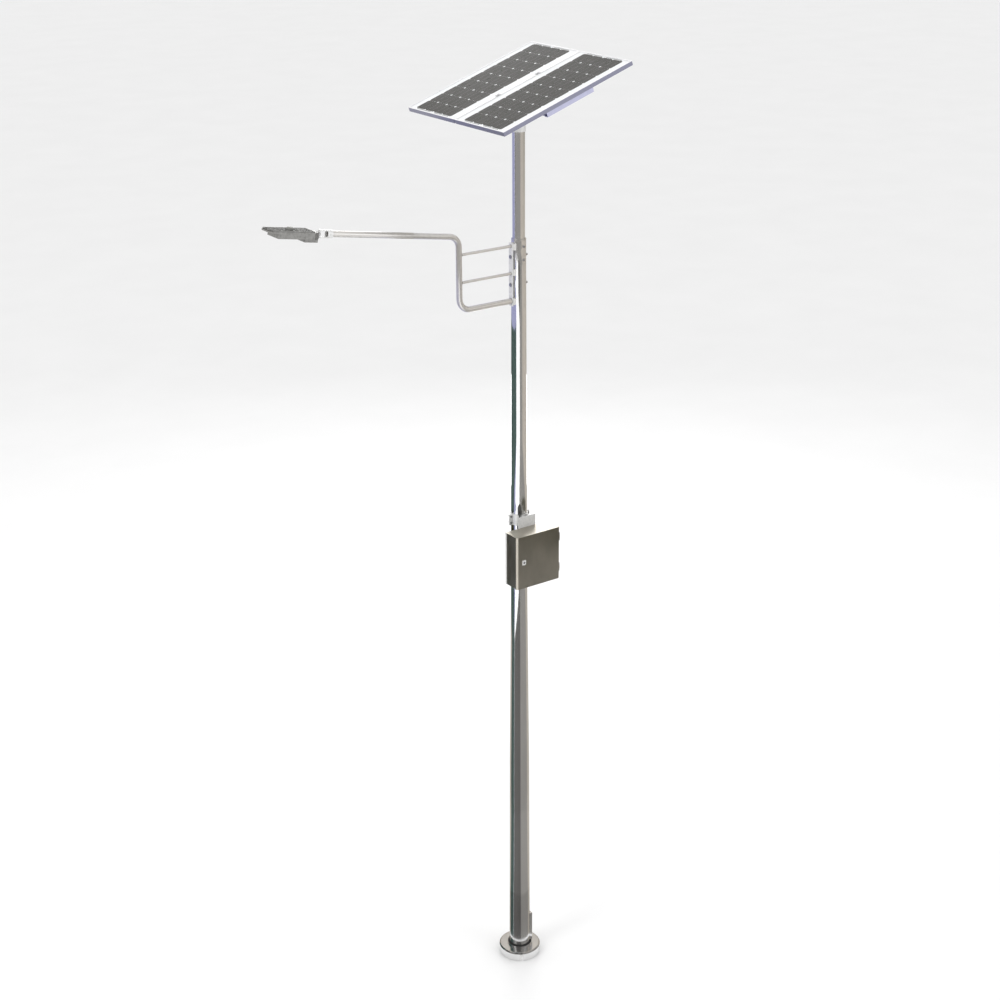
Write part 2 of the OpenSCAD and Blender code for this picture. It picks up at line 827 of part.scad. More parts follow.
// ---- Clamps that hold the box on the pole ----
clamp_zs = [3870, 4430];
clamp_h = 100;
clamp_half = 87.5;
band_t = 5;
band_gap = 0.5;
ear_l = 32;
clamp_screw_xs = [-70, 70];
clamp_screw_zs = [3930, 4364];
ear_bolt_r = 5;

function band_r(z) = pole_r(z - clamp_h / 2) + band_gap;

module band_half(z) {
    r = band_r(z);
    difference() {
        union() {
            cylinder(h = clamp_h, r = r + band_t, center = true);
            block([-r - ear_l, 0.8, -clamp_h / 2], [r + ear_l, band_t + 0.8, clamp_h / 2]);
        }
        cylinder(h = clamp_h + 2, r = r, center = true);
        block([-200, -200, -200], [200, 0.8, 200]);
        for (s = [-1, 1], dz = [-28, 28])
            translate([s * (r + ear_l - 12), 0, dz]) rod_y(ear_bolt_r, -50, 50);
    }
}

module front_clamps() {
    color(steel) difference() {
        for (z = clamp_zs) translate([0, 0, z]) {
            rotate([0, 0, 180]) band_half(z);
            difference() {
                union() {
                    for (s = [-1, 1])
                        block([s * 30 - 3, -box_back, -clamp_h / 2], [s * 30 + 3, -40, clamp_h / 2]);
                    block([-clamp_half, -box_back, z > 4000 ? -90 : -50],
                          [clamp_half, -box_back + 5, z > 4000 ? 50 : 90]);
                }
                cylinder(h = 400, r = band_r(z), center = true);
            }
        }
        for (x = clamp_screw_xs, z = clamp_screw_zs) translate([x, 0, z]) rod_y(4, -140, -100);
    }
}

module box_clamps() {
    front_clamps();
    color(steel) for (z = clamp_zs) translate([0, 0, z]) band_half(z);
}

module box_clamp_bolts() {
    color(dark_steel) {
        for (z = clamp_zs, s = [-1, 1], dz = [-28, 28])
            translate([s * (band_r(z) + ear_l - 12), 0, z + dz]) {
                rod_y(ear_bolt_r, -18, 22);
                hex_y(17, -band_t - 7.8, -band_t - 0.8);
                hex_y(17, band_t + 0.8, band_t + 8.8);
            }
        for (x = clamp_screw_xs, z = clamp_screw_zs) translate([x, 0, z]) {
            rod_y(4, -box_back - 4, -box_back + 12);
            hex_y(13, -box_back + 5, -box_back + 11);
        }
    }
}

module cable_cowl() {
    color(dark_steel) difference() {
        rotate([0, 0, cowl_a]) intersection() {
            translate([0, 0, cowl_z - 46]) cylinder(h = 112, r1 = 97, r2 = 62, $fn = 96);
            rotate([90, 0, 90]) translate([0, 0, 30]) linear_extrude(80)
                polygon([
                    [-17, cowl_z - 44], [17, cowl_z - 44], [17, cowl_z + 15],
                    [0, cowl_z + 62], [-17, cowl_z + 15]
                ]);
        }
        pole_solid();
        translate([lead_x, lead_y, cowl_z - 50]) cylinder(h = 40, r = 8);
    }
}

module cable_lead() {
    color(black) {
        translate([lead_x, lead_y, lead_z + lead_bend])
            cylinder(h = cowl_z - 25 - lead_z - lead_bend, r = lead_r);
        translate([lead_x, lead_y - lead_bend, lead_z + lead_bend]) rotate([0, 90, 0])
            rotate_extrude(angle = 90) translate([lead_bend, 0]) circle(r = lead_r);
        translate([lead_x, 0, lead_z]) rod_y(lead_r, -box_back - 24, lead_y - lead_bend);
    }
}

// ---- Panel head on the upper post ----
sleeve_r = 57;
sleeve_l = 150;
sleeve_top = post_top_z + 3;
clevis_in = 30;
clevis_t = 7;
clevis_r = 20;
tilt_pin_r = 8;
sleeve_bolt_as = [0, 120, 240];
sleeve_bolt_z = post_top_z - 50;

module post_sleeve() {
    color(steel) difference() {
        union() {
            translate([0, 0, post_top_z - sleeve_l]) cylinder(h = sleeve_l + 11, r = sleeve_r);
            for (s = [-1, 1]) {
                translate([0, s * (clevis_in + clevis_t / 2), pivot_z])
                    rod_y(clevis_r, -clevis_t / 2, clevis_t / 2);
                block([-clevis_r, s > 0 ? clevis_in : -clevis_in - clevis_t, sleeve_top + 7],
                      [clevis_r, s > 0 ? clevis_in + clevis_t : -clevis_in, pivot_z]);
            }
        }
        translate([0, 0, post_top_z - sleeve_l - 1]) cylinder(h = sleeve_l + 4, r = post_r + run);
        translate([0, 0, pivot_z]) rod_y(tilt_pin_r, -60, 60);
        for (a = sleeve_bolt_as) rotate([0, 0, a]) translate([0, 0, sleeve_bolt_z]) rod_x(6, 40, 80);
    }
}

module sleeve_bolts() {
    color(dark_steel) for (a = sleeve_bolt_as) rotate([0, 0, a]) translate([0, 0, sleeve_bolt_z]) {
        rod_x(6, post_r + gap, 60);
        hex_x(19, 60, 68);
    }
}

module tilt_pin() {
    color(dark_steel) translate([0, 0, pivot_z]) {
        rod_y(tilt_pin_r - run, -clevis_in - clevis_t - 8, clevis_in + clevis_t + 8);
        for (s = [-1, 1]) translate([0, s * (clevis_in + clevis_t + 5), 0]) hex_y(24, -5, 5);
    }
}

// Array frame: origin at the tilt pivot, +X up the slope, +Z along the normal
module array_frame() {
    translate([0, 0, pivot_z]) rotate([0, -array_tilt, 0]) children();
}

centre_u = 40;
top_v = 130;
frame_v = top_v - module_h;
beam_h = 34;
beam_v = frame_v - beam_h;
beam_w = 40;
bracket_t = 6;
bracket_v = beam_v - bracket_t;
beam_us = [-200, 200];
half_y = module_w + module_gap / 2;

module tilt_bracket() {
    color(steel) array_frame() difference() {
        union() {
            block([centre_u - 222, -60, bracket_v], [centre_u + 222, 60, beam_v]);
            for (s = [-1, 1]) {
                translate([0, s * (clevis_in - 4.5), 0]) rod_y(clevis_r, -4, 4);
                block([-clevis_r, s > 0 ? clevis_in - 8.5 : -clevis_in + 0.5, 0],
                      [clevis_r, s > 0 ? clevis_in - 0.5 : -clevis_in + 8.5, bracket_v]);
            }
        }
        rod_y(tilt_pin_r + run, -60, 60);
    }
}

// C-channel along Y, web towards the array's middle
module cross_beams() {
    color(steel) array_frame() for (u = beam_us) translate([centre_u + u, 0, beam_v]) difference() {
        block([-beam_w / 2, beam_w - half_y, 0], [beam_w / 2, half_y - beam_w, beam_h]);
        block([u > 0 ? 3 - beam_w / 2 : -beam_w / 2 - 1, -half_y, 4],
              [u > 0 ? beam_w / 2 + 1 : beam_w / 2 - 3, half_y, beam_h - 4]);
    }
}

end_rail_l = 456;
module end_rails() {
    color(steel) array_frame() for (s = [-1, 1]) translate([centre_u, 0, beam_v]) difference() {
        block([-end_rail_l / 2, s > 0 ? half_y - beam_w : -half_y, 0],
              [end_rail_l / 2, s > 0 ? half_y : beam_w - half_y, beam_h]);
        block([-end_rail_l, s > 0 ? half_y - beam_w - 1 : 3 - half_y, 4],
              [end_rail_l, s > 0 ? half_y - 3 : beam_w + 1 - half_y, beam_h - 4]);
    }
}

frame_wall = 3;
frame_lip = 9;
frame_foot = 28;
glass_v = top_v - 2;
glass_t = 5;

// One module's frame, its low corner at the origin
module module_frame() {
    difference() {
        cube([module_l, module_w, module_h]);
        translate([frame_wall, frame_wall, 2])
            cube([module_l - 2 * frame_wall, module_w - 2 * frame_wall, module_h - 4]);
        translate([frame_foot, frame_foot, -1])
            cube([module_l - 2 * frame_foot, module_w - 2 * frame_foot, 10]);
        translate([frame_lip, frame_lip, module_h - 10])
            cube([module_l - 2 * frame_lip, module_w - 2 * frame_lip, 20]);
    }
}

module_ys = [-half_y, module_gap / 2];
module module_frames() {
    color(white) array_frame() for (y = module_ys)
        translate([centre_u - module_l / 2, y, frame_v]) module_frame();
}

module laminate(y) {
    array_frame() translate([centre_u - module_l / 2, y, glass_v - glass_t])
        translate([frame_wall, frame_wall, 0])
            cube([module_l - 2 * frame_wall, module_w - 2 * frame_wall, glass_t]);
}

module laminate_left() {
    color(blue_black) laminate(module_ys[1]);
}

module laminate_right() {
    color(blue_black) laminate(module_ys[0]);
}

module junction_boxes() {
    color(black) array_frame() for (y = module_ys)
        translate([centre_u + module_l / 2 - 200, y + module_w / 2 - 55, glass_v - glass_t - 22]) {
            cube([90, 110, 22]);
            for (s = [15, 85]) translate([-12, s, 10]) rod_x(7, 0, 12);
        }
}

module module_clamps() {
    color(dark_steel) array_frame() for (u = beam_us) {
        translate([centre_u + u, 0, 0]) {
            block([-18, -module_gap / 2 - 7, top_v], [18, module_gap / 2 + 7, top_v + 3]);
            translate([0, 0, beam_v + beam_h]) cylinder(h = module_h + 4, r = 4);
            translate([0, 0, top_v + 3]) cylinder(h = 5, r = 6.5, $fn = 6);
        }
    }
}

base_flange();
base_gussets();
pole_foot();
pole_tube();
base_cover_left();
base_cover_right();
base_cover_straps();
base_seal();
handhole_frame();
handhole_lip();
handhole_hinge();
fuse_board();
handhole_door();
handhole_lock();
pole_cap();
upper_post();
pole_bolts();
box_clamps();
box_clamp_bolts();
box_body();
box_hinge_pins();
equipment_plate();
battery_tray();
battery_pack();
battery_strap();
charge_controller();
terminal_rail();
cable_glands();
cable_cowl();
cable_lead();
box_door();
box_door_gasket();
lock_escutcheon();
lock_barrel();
arm_plate();
arm_tube();
arm_rungs();
spigot_yoke();
head_housing();
head_fins();
led_board();
led_lenses();
head_glass();
head_gasket();
led_driver();
photocell();
head_pivot_pin();
gear_cover();
gear_latch();
post_sleeve();
sleeve_bolts();
tilt_pin();
tilt_bracket();
cross_beams();
end_rails();
module_frames();
laminate_left();
laminate_right();
junction_boxes();
module_clamps();
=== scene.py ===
"""Solar street lamp: materials, fine pieces, camera and light around the CAD frame. Metres, +Z up."""
import json
import math

import bmesh
import bpy
from mathutils import Matrix, Vector


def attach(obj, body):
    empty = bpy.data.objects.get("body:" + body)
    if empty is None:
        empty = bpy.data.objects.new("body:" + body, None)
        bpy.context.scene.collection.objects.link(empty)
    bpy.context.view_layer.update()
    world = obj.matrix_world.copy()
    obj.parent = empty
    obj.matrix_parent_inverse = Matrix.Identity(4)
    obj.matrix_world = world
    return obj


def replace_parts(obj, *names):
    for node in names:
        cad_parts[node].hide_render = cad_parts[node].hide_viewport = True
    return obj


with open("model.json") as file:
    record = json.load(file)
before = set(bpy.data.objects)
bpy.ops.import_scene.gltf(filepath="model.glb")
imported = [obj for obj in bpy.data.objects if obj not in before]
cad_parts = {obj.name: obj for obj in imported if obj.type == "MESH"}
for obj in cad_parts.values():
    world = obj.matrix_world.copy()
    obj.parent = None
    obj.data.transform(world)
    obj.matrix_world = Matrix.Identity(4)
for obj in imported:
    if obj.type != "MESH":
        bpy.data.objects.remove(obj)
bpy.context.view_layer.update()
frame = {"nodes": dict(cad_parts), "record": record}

NODES = frame["nodes"]

# Camera place, direction, roll and lens
CAMERA_AT = (-8.173, -11.535, 10.355)
CAMERA_FORWARD = Vector((0.5266, 0.7616, -0.3777))
CAMERA_ROLL = math.radians(-0.33)
LENS_MM = 64.61
SENSOR_MM = 36.0

# Tilted parts: the array's slope, the arm's rise, and their origins
ARRAY_TILT = math.radians(19)
ARM_RISE = math.radians(9.36)
PIVOT = Vector((0, 0, 7.941))
# The pivot's height along the array's normal, and where the frames turn from side wall to top flange
PIVOT_NORMAL = PIVOT.z * math.cos(ARRAY_TILT)
FLANGE_LOW, FLANGE_HIGH = 0.1265, 0.1290


# ---------------------------------------------------------------- materials

class Shader:
    """A node material under construction: a Principled shader and helpers that feed it."""

    def __init__(self, name, color, roughness, metallic=0.0, **constants):
        self.mat = bpy.data.materials.new(name)
        self.mat.use_nodes = True
        self.tree = self.mat.node_tree
        self.bsdf = self.tree.nodes["Principled BSDF"]
        self.set("Base Color", (*color, 1))
        self.set("Roughness", roughness)
        self.set("Metallic", metallic)
        for key, value in constants.items():
            self.set(key.replace("_", " "), value)
        self.coords = self.tree.nodes.new("ShaderNodeTexCoord")

    def set(self, socket, value):
        self.bsdf.inputs[socket].default_value = value

    def node(self, kind, **settings):
        """A new node; a setting is the node's attribute, or else its input's value."""
        n = self.tree.nodes.new(kind)
        for key, value in settings.items():
            if hasattr(n, key):
                setattr(n, key, value)
            else:
                n.inputs[key.replace("_", " ")].default_value = value
        return n

    def link(self, a, b):
        self.tree.links.new(a, b)

    def scaled(self, stretch):
        """Object coordinates, stretched along each axis."""
        m = self.node("ShaderNodeMapping")
        m.inputs["Scale"].default_value = stretch
        self.link(self.coords.outputs["Object"], m.inputs["Vector"])
        return m.outputs["Vector"]

    def noise(self, scale, stretch=(1, 1, 1), detail=4.0):
        n = self.node("ShaderNodeTexNoise", Scale=scale, Detail=detail, Roughness=0.55)
        self.link(self.scaled(stretch), n.inputs["Vector"])
        return n.outputs["Fac"]

    def voronoi(self, scale):
        n = self.node("ShaderNodeTexVoronoi", Scale=scale)
        self.link(self.scaled((1, 1, 1)), n.inputs["Vector"])
        return n.outputs["Color"]

    def ramp(self, source, stops):
        """A colour ramp; stops is a list of (position, colour)."""
        r = self.node("ShaderNodeValToRGB")
        elements = r.color_ramp.elements
        while len(elements) < len(stops):
            elements.new(0.5)
        for e, (at, color) in zip(elements, stops):
            e.position = at
            e.color = (*color, 1)
        self.link(source, r.inputs["Fac"])
        return r.outputs["Color"]

    def span(self, source, low, high, from_low=0.3, from_high=0.7):
        """Maps the middle of a 0 to 1 pattern to low to high."""
        m = self.node("ShaderNodeMapRange")
        limits = {"From Min": from_low, "From Max": from_high, "To Min": low, "To Max": high}
        for key, value in limits.items():
            m.inputs[key].default_value = value
        self.link(source, m.inputs["Value"])
        return m.outputs["Result"]

    def color(self, source):
        self.link(source, self.bsdf.inputs["Base Color"])

    def roughness(self, source, low, high):
        self.link(self.span(source, low, high), self.bsdf.inputs["Roughness"])

    def bump(self, source, strength, distance):
        b = self.node("ShaderNodeBump", Strength=strength, Distance=distance)
        self.link(source, b.inputs["Height"])
        self.link(b.outputs["Normal"], self.bsdf.inputs["Normal"])


def shade(color, k):
    """A colour k times as bright."""
    return tuple(min(1.0, c * k) for c in color)


def polished_pole():
    s = Shader("galvanised_pole", (0.80, 0.80, 0.80), 0.14, 1.0)
    clouds = s.noise(3.0, (1, 1, 0.25))
    s.color(s.ramp(clouds, [(0.3, (0.76, 0.76, 0.755)), (0.7, (0.84, 0.84, 0.84))]))
    s.roughness(s.noise(90, (1, 1, 0.03)), 0.10, 0.17)
    s.bump(s.noise(60, (1, 1, 0.05)), 0.04, 0.0004)
    return s.mat


def galvanised():
    s = Shader("galvanised_fittings", (0.74, 0.73, 0.71), 0.35, 0.2)
    spangle = s.voronoi(70)
    s.color(s.ramp(spangle, [(0.1, (0.68, 0.68, 0.67)), (0.9, (0.78, 0.78, 0.77))]))
    s.roughness(spangle, 0.28, 0.38)
    s.bump(s.noise(220), 0.15, 0.0004)
    return s.mat


def satin_steel(name, color, fine=1.0, metallic=1.0):
    """Lightly grained metal; a larger fine gives a finer grain."""
    s = Shader(name, color, 0.32, metallic)
    grain = s.noise(40 * fine)
    s.color(s.ramp(grain, [(0.3, shade(color, 0.95)), (0.7, shade(color, 1.04))]))
    s.roughness(grain, 0.28, 0.36)
    s.bump(s.noise(400 * fine), 0.08, 0.0003)
    return s.mat


def powder_coat():
    base = (0.44, 0.415, 0.36)
    s = Shader("box_paint", base, 0.34, 0.99)
    clouds = s.noise(6, (1, 1, 0.5))
    s.color(s.ramp(clouds, [(0.3, shade(base, 0.9)), (0.7, shade(base, 1.12))]))
    s.roughness(s.noise(14), 0.30, 0.38)
    s.bump(s.noise(120, detail=1.0), 0.02, 0.0001)
    return s.mat


def plastic(name, color, roughness=0.5, grain=900):
    s = Shader(name, color, roughness)
    s.color(s.ramp(s.noise(30), [(0.3, shade(color, 0.85)), (0.7, shade(color, 1.15))]))
    s.bump(s.noise(grain, detail=2.0), 0.2, 0.0002)
    s.roughness(s.noise(60), roughness - 0.07, roughness + 0.07)
    return s.mat


def casting():
    base = (0.27, 0.266, 0.255)
    s = Shader("head_casting", base, 0.42, 0.75)
    s.color(s.ramp(s.noise(55), [(0.3, shade(base, 0.8)), (0.72, shade(base, 1.25))]))
    s.roughness(s.noise(30), 0.34, 0.55)
    s.bump(s.noise(500, detail=3.0), 0.35, 0.0004)
    return s.mat


def anodised_frame_painted_light():
    """Painted highlight on the top flange and painted blue-grey shade on the side walls, told apart by
    depth below the array's plane.
    """
    s = Shader("module_frame", (0.80, 0.80, 0.83), 0.34, 0.55)
    split = s.node("ShaderNodeSeparateXYZ")
    turned = s.node("ShaderNodeMapping")
    turned.inputs["Rotation"].default_value = (0, ARRAY_TILT, 0)
    s.link(s.coords.outputs["Object"], turned.inputs["Vector"])
    s.link(turned.outputs["Vector"], split.inputs["Vector"])
    depth = s.span(split.outputs["Z"], 0, 1, PIVOT_NORMAL + FLANGE_LOW, PIVOT_NORMAL + FLANGE_HIGH)
    # Painted light: the side walls' dark blue-grey is painted shade, the flange's near white a painted
    # highlight
    s.color(s.ramp(depth, [(0.0, (0.23, 0.23, 0.30)), (1.0, (0.86, 0.86, 0.87))]))
    s.roughness(s.noise(70), 0.26, 0.42)
    s.bump(s.noise(500), 0.08, 0.0002)
    return s.mat


def clear_glass():
    s = Shader("lens_clear", (0.94, 0.97, 0.98), 0.06, Transmission_Weight=0.9, IOR=1.49)
    s.bump(s.noise(120), 0.03, 0.0004)
    s.roughness(s.noise(20), 0.06, 0.11)
    return s.mat


def under_glass(name, color, k):
    """A printed or silicon surface seen through the module's front glass."""
    s = Shader(name, color, 0.3, Coat_Weight=0.07, Coat_Roughness=0.06, Coat_IOR=1.45,
               Specular_IOR_Level=0.06)
    s.color(s.ramp(s.noise(9), [(0.3, shade(color, 1 - k)), (0.7, shade(color, 1 + k))]))
    s.roughness(s.noise(25), 0.26, 0.4)
    return s.mat


def webbing():
    s = Shader("strap_webbing", (0.03, 0.03, 0.03), 0.8, Sheen_Weight=0.3)
    wave = s.node("ShaderNodeTexWave", Scale=180.0, Distortion=0.4)
    s.link(s.scaled((1, 1, 1)), wave.inputs["Vector"])
    s.color(s.ramp(wave.outputs["Fac"], [(0.2, (0.015, 0.015, 0.016)), (0.8, (0.05, 0.05, 0.052))]))
    s.bump(wave.outputs["Fac"], 0.5, 0.0006)
    return s.mat


MATERIALS = {
    "galvanised_pole": polished_pole(),
    "galvanised_fittings": galvanised(),
    "arm_steel": satin_steel("arm_steel", (0.64, 0.62, 0.59), metallic=0.7),
    "fasteners": satin_steel("fasteners", (0.45, 0.45, 0.46), 2.0),
    "box_paint": powder_coat(),
    "black_plastic": plastic("black_plastic", (0.045, 0.044, 0.04)),
    "rubber": plastic("rubber", (0.025, 0.025, 0.025), 0.75, 400),
    "battery_case": plastic("battery_case", (0.06, 0.12, 0.28), 0.35),
    "strap_webbing": webbing(),
    "controller_case": satin_steel("controller_case", (0.16, 0.17, 0.19), 1.5),
    "head_casting": casting(),
    "circuit_board": plastic("circuit_board", (0.78, 0.80, 0.77), 0.4),
    "lens_clear": clear_glass(),
    "photocell_cap": plastic("photocell_cap", (0.30, 0.30, 0.28), 0.45),
    # The subframe's blue-lilac tint is a painted reflection
    "subframe": satin_steel("subframe", (0.44, 0.44, 0.57), 0.7),
    "module_frame": anodised_frame_painted_light(),
    "laminate": under_glass("laminate", (0.86, 0.87, 0.88), 0.04),
}
CELL = under_glass("solar_cell", (0.048, 0.046, 0.041), 0.10)
BUSBAR = satin_steel("busbar", (0.20, 0.20, 0.195), 3.0)
WELD = satin_steel("weld_bead", (0.46, 0.45, 0.43), 3.0)

for entry in frame["record"]["subparts"]:
    slots = NODES[entry["node"]].data.materials
    slots.clear()
    slots.append(MATERIALS[entry["material_slot"]])


# ---------------------------------------------------------------- helpers for pieces

def made_object(name, bm, material):
    """Turns a bmesh into an object in the scene, with one material."""
    mesh = bpy.data.meshes.new(name)
    bm.to_mesh(mesh)
    bm.free()
    mesh.materials.append(material)
    obj = bpy.data.objects.new(name, mesh)
    bpy.context.scene.collection.objects.link(obj)
    return obj


def piece(name, bm, slot, body, material=None, smooth=True, place=None):
    """Turns a bmesh into a piece that rides on a body, with the material of the record's slot unless
    another material is given.
    """
    if place is not None:
        bmesh.ops.transform(bm, matrix=place, verts=bm.verts)
    bmesh.ops.recalc_face_normals(bm, faces=bm.faces)
    obj = made_object(name, bm, material or MATERIALS[slot])
    if smooth:
        for polygon in obj.data.polygons:
            polygon.use_smooth = True
        edge = obj.modifiers.new("edges", "EDGE_SPLIT")
        edge.split_angle = math.radians(35)
    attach(obj, body)
    return obj


def round_edges(node, width, segments=2):
    """Softens a CAD node's sharp edges."""
    bevel = NODES[node].modifiers.new("round", "BEVEL")
    bevel.width = width
    bevel.segments = segments
    bevel.limit_method = "ANGLE"
    bevel.angle_limit = math.radians(40)
    bevel.harden_normals = False


def add_prism(bm, outline, z0, z1):
    """Adds an extruded outline (a list of x, y) between z0 and z1."""
    low = [bm.verts.new((x, y, z0)) for x, y in outline]
    high = [bm.verts.new((x, y, z1)) for x, y in outline]
    bm.faces.new(low[::-1])
    bm.faces.new(high)
    count = len(outline)
    for i in range(count):
        j = (i + 1) % count
        bm.faces.new((low[i], low[j], high[j], high[i]))


def add_box(bm, low, high):
    """Adds a box between two opposite corners."""
    (x0, y0, z0), (x1, y1, z1) = low, high
    add_prism(bm, [(x0, y0), (x1, y0), (x1, y1), (x0, y1)], z0, z1)


def add_lathe(bm, profile, steps, place):
    """Adds a closed solid of revolution about Z.

    The profile is a list of (radius, z) that starts and ends on the axis.
    """
    rings = []
    for r, z in profile:
        if r < 1e-7:
            rings.append([bm.verts.new((0, 0, z))])
        else:
            turns = [2 * math.pi * k / steps for k in range(steps)]
            rings.append([bm.verts.new((r * math.cos(a), r * math.sin(a), z)) for a in turns])
    made = [v for ring in rings for v in ring]
    for a, b in zip(rings, rings[1:]):
        for i in range(steps):
            j = (i + 1) % steps
            if len(a) == 1:
                bm.faces.new((a[0], b[i], b[j]))
            elif len(b) == 1:
                bm.faces.new((a[i], a[j], b[0]))
            else:
                bm.faces.new((a[i], a[j], b[j], b[i]))
    bmesh.ops.transform(bm, matrix=place, verts=made)


def dome_profile(radius, height, steps):
    """Profile of a dome on a flat base, for add_lathe."""
    turns = [math.pi / 2 * k / steps for k in range(steps)]
    return [(0, 0)] + [(radius * math.cos(a), height * math.sin(a)) for a in turns] + [(0, height)]


def add_ring(bm, radius, thick, steps, place, wobble, sides=8):
    """Adds a torus about Z; wobble varies the section, as in a weld bead."""
    rings = []
    for k in range(steps):
        a = 2 * math.pi * k / steps
        t = thick * (1 + wobble * math.sin(k * 2.1) * 0.5)
        ring = []
        for q in range(sides):
            b = 2 * math.pi * q / sides
            r = radius + t * math.cos(b)
            ring.append(bm.verts.new((r * math.cos(a), r * math.sin(a), t * math.sin(b))))
        rings.append(ring)
    for k in range(steps):
        a, b = rings[k], rings[(k + 1) % steps]
        for q in range(sides):
            p = (q + 1) % sides
            bm.faces.new((a[q], a[p], b[p], b[q]))
    made = [v for ring in rings for v in ring]
    bmesh.ops.transform(bm, matrix=place, verts=made)


def along(at, direction):
    """A matrix that stands Z along direction, at a point."""
    turn = Vector(direction).normalized().to_track_quat("Z", "Y").to_matrix().to_4x4()
    return Matrix.Translation(at) @ turn


ARRAY_PLACE = Matrix.Translation(PIVOT) @ Matrix.Rotation(-ARRAY_TILT, 4, "Y")

# The LED head's frame: the arm's top bend, and the head's pivot along the outer arm
ARM_REACH = 0.5775
ARM_BEND = 0.1
ARM_START_Z = 6.966
PIVOT_ALONG = 1.188
BEND_AT = (-ARM_REACH - ARM_BEND, 0, ARM_START_Z - ARM_BEND * math.cos(ARM_RISE))
BEND_PLACE = Matrix.Translation(BEND_AT) @ Matrix.Rotation(ARM_RISE, 4, "Y")
HEAD_PLACE = BEND_PLACE @ Matrix.Translation((-PIVOT_ALONG, 0, ARM_BEND))


# ---------------------------------------------------------------- solar modules

MODULE_L, MODULE_W, MODULE_GAP = 1.265, 0.650, 0.017
CENTRE_U, GLASS_TOP = 0.040, 0.128
CELL_ROWS, CELL_COLS = 9, 4
PITCH_U, PITCH_Y = 0.1345, 0.1235
CELL_GAP, CELL_CUT = 0.0014, 0.0110
INNER_MARGIN = 0.082
FRAME_WALL = 0.003
GLASS_T = 0.005
SKIN = 0.0012
RIBBON_HALF = 0.0007
STRIP_HALF = 0.003


def laminate_face(name, node, side):
    """White back sheet and glass of one module, in place of its CAD slab."""
    y0 = side * (MODULE_GAP / 2 + FRAME_WALL)
    y1 = side * (MODULE_GAP / 2 + MODULE_W - FRAME_WALL)
    u = MODULE_L / 2 - FRAME_WALL
    bm = bmesh.new()
    add_box(bm, (CENTRE_U - u, min(y0, y1), GLASS_TOP - GLASS_T),
            (CENTRE_U + u, max(y0, y1), GLASS_TOP - SKIN))
    sheet = piece(name, bm, "laminate", "solar_array", smooth=False, place=ARRAY_PLACE)
    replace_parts(sheet, node)


def cell_grid(side):
    """Centres of one module's cells in the array's plane."""
    inner = MODULE_GAP / 2 + INNER_MARGIN
    for row in range(CELL_ROWS):
        for col in range(CELL_COLS):
            u = CENTRE_U + (row - (CELL_ROWS - 1) / 2) * PITCH_U
            yield u, side * (inner + (col + 0.5) * PITCH_Y)


def cell_outline(u, y):
    """Rectangle with its four corners cut, as a pseudo-square cell has."""
    a, b = PITCH_U / 2 - CELL_GAP / 2, PITCH_Y / 2 - CELL_GAP / 2
    c = CELL_CUT
    corners = [(a, b - c), (a - c, b), (c - a, b), (-a, b - c),
               (-a, c - b), (c - a, -b), (a - c, -b), (a, c - b)]
    return [(u + p, y + q) for p, q in corners]


def solar_cells(name, side):
    bm = bmesh.new()
    for u, y in cell_grid(side):
        add_prism(bm, cell_outline(u, y), GLASS_TOP - SKIN, GLASS_TOP - SKIN * 0.55)
    piece(name, bm, "laminate", "solar_array", CELL, smooth=False, place=ARRAY_PLACE)


def busbars(name, side):
    """Silver ribbons along each column of cells, with collecting strips at the ends."""
    bm = bmesh.new()
    inner = MODULE_GAP / 2 + INNER_MARGIN
    reach = CELL_ROWS * PITCH_U / 2
    top = GLASS_TOP - SKIN * 0.3
    for col in range(CELL_COLS):
        for k in (-1, 1):
            y = side * (inner + (col + 0.5) * PITCH_Y) + k * PITCH_Y * 0.22
            add_box(bm, (CENTRE_U - reach - 0.004, y - RIBBON_HALF, GLASS_TOP - SKIN),
                    (CENTRE_U + reach + 0.004, y + RIBBON_HALF, top))
    for end in (-1, 1):
        u = CENTRE_U + end * (reach + 0.008)
        for pair in range(CELL_COLS // 2):
            ya = side * (inner + (2 * pair + 0.22) * PITCH_Y)
            yb = side * (inner + (2 * pair + 1.78) * PITCH_Y)
            add_box(bm, (u - STRIP_HALF, min(ya, yb), GLASS_TOP - SKIN),
                    (u + STRIP_HALF, max(ya, yb), top))
    piece(name, bm, "laminate", "solar_array", BUSBAR, smooth=False, place=ARRAY_PLACE)


def shaded_drain_patches():
    """Drain slots near the corners of the module frames, as thin black patches: painted shade where the
    slots' hollows are.
    """
    bm = bmesh.new()
    for side in (-1, 1):
        for end in (-1, 1):
            u = CENTRE_U + end * (MODULE_L / 2 - 0.0301)
            for y in (side * (MODULE_GAP / 2 + 0.03), side * (MODULE_GAP / 2 + MODULE_W - 0.03)):
                add_box(bm, (u - 0.012, y - 0.003, 0.0952), (u + 0.012, y + 0.003, 0.0962))
    piece("frame_slot_painted_shade", bm, "black_plastic", "solar_array", smooth=False, place=ARRAY_PLACE)


def seam_strip():
    """Cover strip that closes the gap between the two modules."""
    bm = bmesh.new()
    half = MODULE_GAP / 2 + 0.004
    low, high = CENTRE_U - MODULE_L / 2 + 0.001, CENTRE_U + MODULE_L / 2 - 0.001
    add_box(bm, (low, -half, 0.1292), (high, half, 0.1300))
    add_box(bm, (low, -0.006, 0.105), (high, 0.006, 0.1292))
    piece("module_seam_strip", bm, "module_frame", "solar_array", smooth=False, place=ARRAY_PLACE)


seam_strip()
for label, node, side in (("left", "laminate_left", 1), ("right", "laminate_right", -1)):
    laminate_face("back_sheet_" + label, node, side)
    solar_cells("cells_" + label, side)
    busbars("busbars_" + label, side)
shaded_drain_patches()


# ---------------------------------------------------------------- pole and arm details

